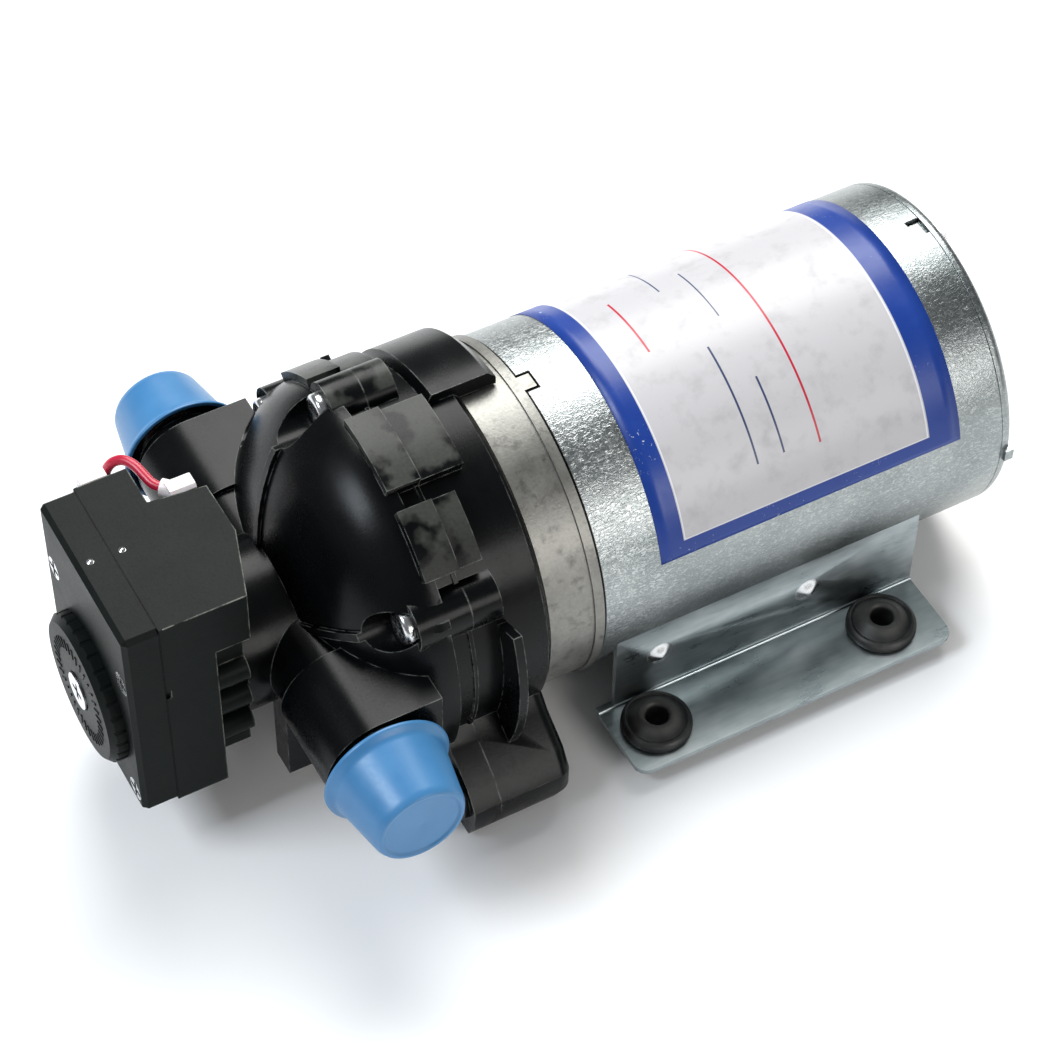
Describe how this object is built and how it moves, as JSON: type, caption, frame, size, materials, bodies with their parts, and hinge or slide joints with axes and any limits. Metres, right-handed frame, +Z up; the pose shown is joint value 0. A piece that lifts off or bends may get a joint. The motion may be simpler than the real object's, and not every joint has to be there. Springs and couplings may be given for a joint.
{
  "type": "diaphragm water pump",
  "caption": "Motor-driven diaphragm water pump with side ports under push-on caps, a pressure switch and a rubber-mounted base.",
  "frame": {"origin": "middle of the whole box, on the plane that the four rubber feet stand on", "axes": "+X along the motor shaft to the motor's rear, -Y to the side seen in the picture, +Z up"},
  "size_m": [0.2424, 0.1496, 0.0976],
  "materials": {
    "zinc_can": "zinc plated, satin, with a faint spangle",
    "zinc_bracket": "bright zinc plated",
    "cast_bell": "as cast, turned on its rim",
    "magnet": "sintered, matt",
    "steel": "ground",
    "core_steel": "stacked sheets",
    "copper": "enamelled copper",
    "brass": "plain",
    "graphite": "pressed graphite",
    "card_brown": "pressed paper board",
    "black_rubber": "moulded, matt",
    "label_foil": "printed foil",
    "black_nylon": "moulded glass filled nylon, semi gloss",
    "black_box": "moulded, fine texture",
    "screw_zinc": "bright zinc plated",
    "cap_blue": "soft moulded polythene",
    "connector_white": "milky insulating sleeve",
    "lead_red": "soft insulation",
    "drive_nylon": "moulded, natural",
    "diaphragm_rubber": "moulded sheet",
    "valve_rubber": "moulded",
    "spring_steel": "drawn wire"
  },
  "bodies": {
    "root": {"motor_can": "zinc_can", "rear_end_plate": "zinc_can", "field_magnets": "magnet", "near_brush_spring": "spring_steel", "far_brush_spring": "spring_steel", "brush_holders": "brass", "brush_card": "card_brown", "rear_bushing": "brass", "through_bolts": "screw_zinc", "drive_end_bell": "cast_bell", "front_bearing_outer": "steel", "lead_grommet": "black_rubber", "near_bracket": "zinc_bracket", "far_bracket": "zinc_bracket", "mounting_grommets": "black_rubber", "rating_label": "label_foil", "rear_housing": "black_nylon", "diaphragm": "diaphragm_rubber", "valve_plate": "drive_nylon", "inlet_valves": "valve_rubber", "outlet_valve": "valve_rubber", "outlet_seal": "black_rubber", "front_housing": "black_nylon", "housing_screws": "screw_zinc", "check_valve_guide": "drive_nylon", "check_valve_spring": "spring_steel", "switch_body": "black_box", "switch_cover": "black_box", "switch_screws": "screw_zinc", "switch_diaphragm": "diaphragm_rubber", "pressure_spring": "spring_steel", "adjuster_cap": "black_box", "micro_switch": "black_box", "switch_terminals": "brass", "spade_connectors": "connector_white", "front_lead": "lead_red", "rear_lead": "lead_red"},
    "armature": {"motor_shaft": "steel", "armature_core": "core_steel", "armature_windings": "copper", "commutator": "copper", "front_bearing_inner": "steel", "front_bearing_balls": "steel", "cam": "cast_bell", "cam_bearing_inner": "steel"},
    "wobble": {"cam_bearing_outer": "steel", "cam_bearing_balls": "steel", "wobble_plate": "drive_nylon", "piston_discs": "diaphragm_rubber", "piston_inserts": "drive_nylon", "piston_screws": "screw_zinc"},
    "near_brush": {"near_brush": "graphite"},
    "far_brush": {"far_brush": "graphite"},
    "adjusting_screw": {"adjusting_screw": "screw_zinc"},
    "spring_seat": {"spring_seat": "brass"},
    "plunger": {"switch_plunger": "drive_nylon", "micro_button": "drive_nylon"},
    "poppet": {"check_valve_poppet": "drive_nylon"},
    "near_cap": {"near_port_cap": "cap_blue"},
    "far_cap": {"far_port_cap": "cap_blue"}
  },
  "joints": [
    {"name": "shaft_spin", "type": "hinge", "parent": "root", "child": "armature", "pos_m": [0, 0, 0.046], "axis": [1, 0, 0], "continuous": true},
    {"name": "wobble_nutation", "type": "hinge", "parent": "armature", "child": "wobble", "pos_m": [-0.02555, 0, 0.046], "axis": [0.9981, 0, -0.061], "continuous": true},
    {"name": "near_brush_slide", "type": "slide", "parent": "root", "child": "near_brush", "axis": [0, -1, 0], "range_m": [0, 0.003], "stiffness_N_per_m": 300, "springref_m": -0.004, "deforming": ["near_brush_spring"]},
    {"name": "far_brush_slide", "type": "slide", "parent": "root", "child": "far_brush", "axis": [0, 1, 0], "range_m": [0, 0.003], "stiffness_N_per_m": 300, "springref_m": -0.004, "deforming": ["far_brush_spring"]},
    {"name": "adjusting_screw_turn", "type": "hinge", "parent": "root", "child": "adjusting_screw", "pos_m": [-0.11, 0, 0.0428], "axis": [1, 0, 0], "range_deg": [-360.1, 360.1]},
    {"name": "spring_seat_slide", "type": "slide", "parent": "root", "child": "spring_seat", "axis": [1, 0, 0], "range_m": [-0.0008, 0.0008], "deforming": ["pressure_spring"]},
    {"name": "plunger_slide", "type": "slide", "parent": "root", "child": "plunger", "axis": [-1, 0, 0], "range_m": [0, 0.0012], "stiffness_N_per_m": 2000, "springref_m": -0.003, "deforming": ["pressure_spring"]},
    {"name": "poppet_slide", "type": "slide", "parent": "root", "child": "poppet", "axis": [0, -1, 0], "range_m": [0, 0.003], "stiffness_N_per_m": 100, "springref_m": -0.003, "deforming": ["check_valve_spring"]},
    {"name": "near_cap_pull", "type": "slide", "parent": "root", "child": "near_cap", "axis": [0, -1, 0], "range_m": [0, 0.045]},
    {"name": "far_cap_pull", "type": "slide", "parent": "root", "child": "far_cap", "axis": [0, 1, 0], "range_m": [0, 0.045]}
  ],
  "couplings": [
    {"joint": "wobble_nutation", "follows": "shaft_spin", "ratio": -1},
    {"joint": "adjusting_screw_turn", "follows": "spring_seat_slide", "rad_per_m": 7854}
  ]
}
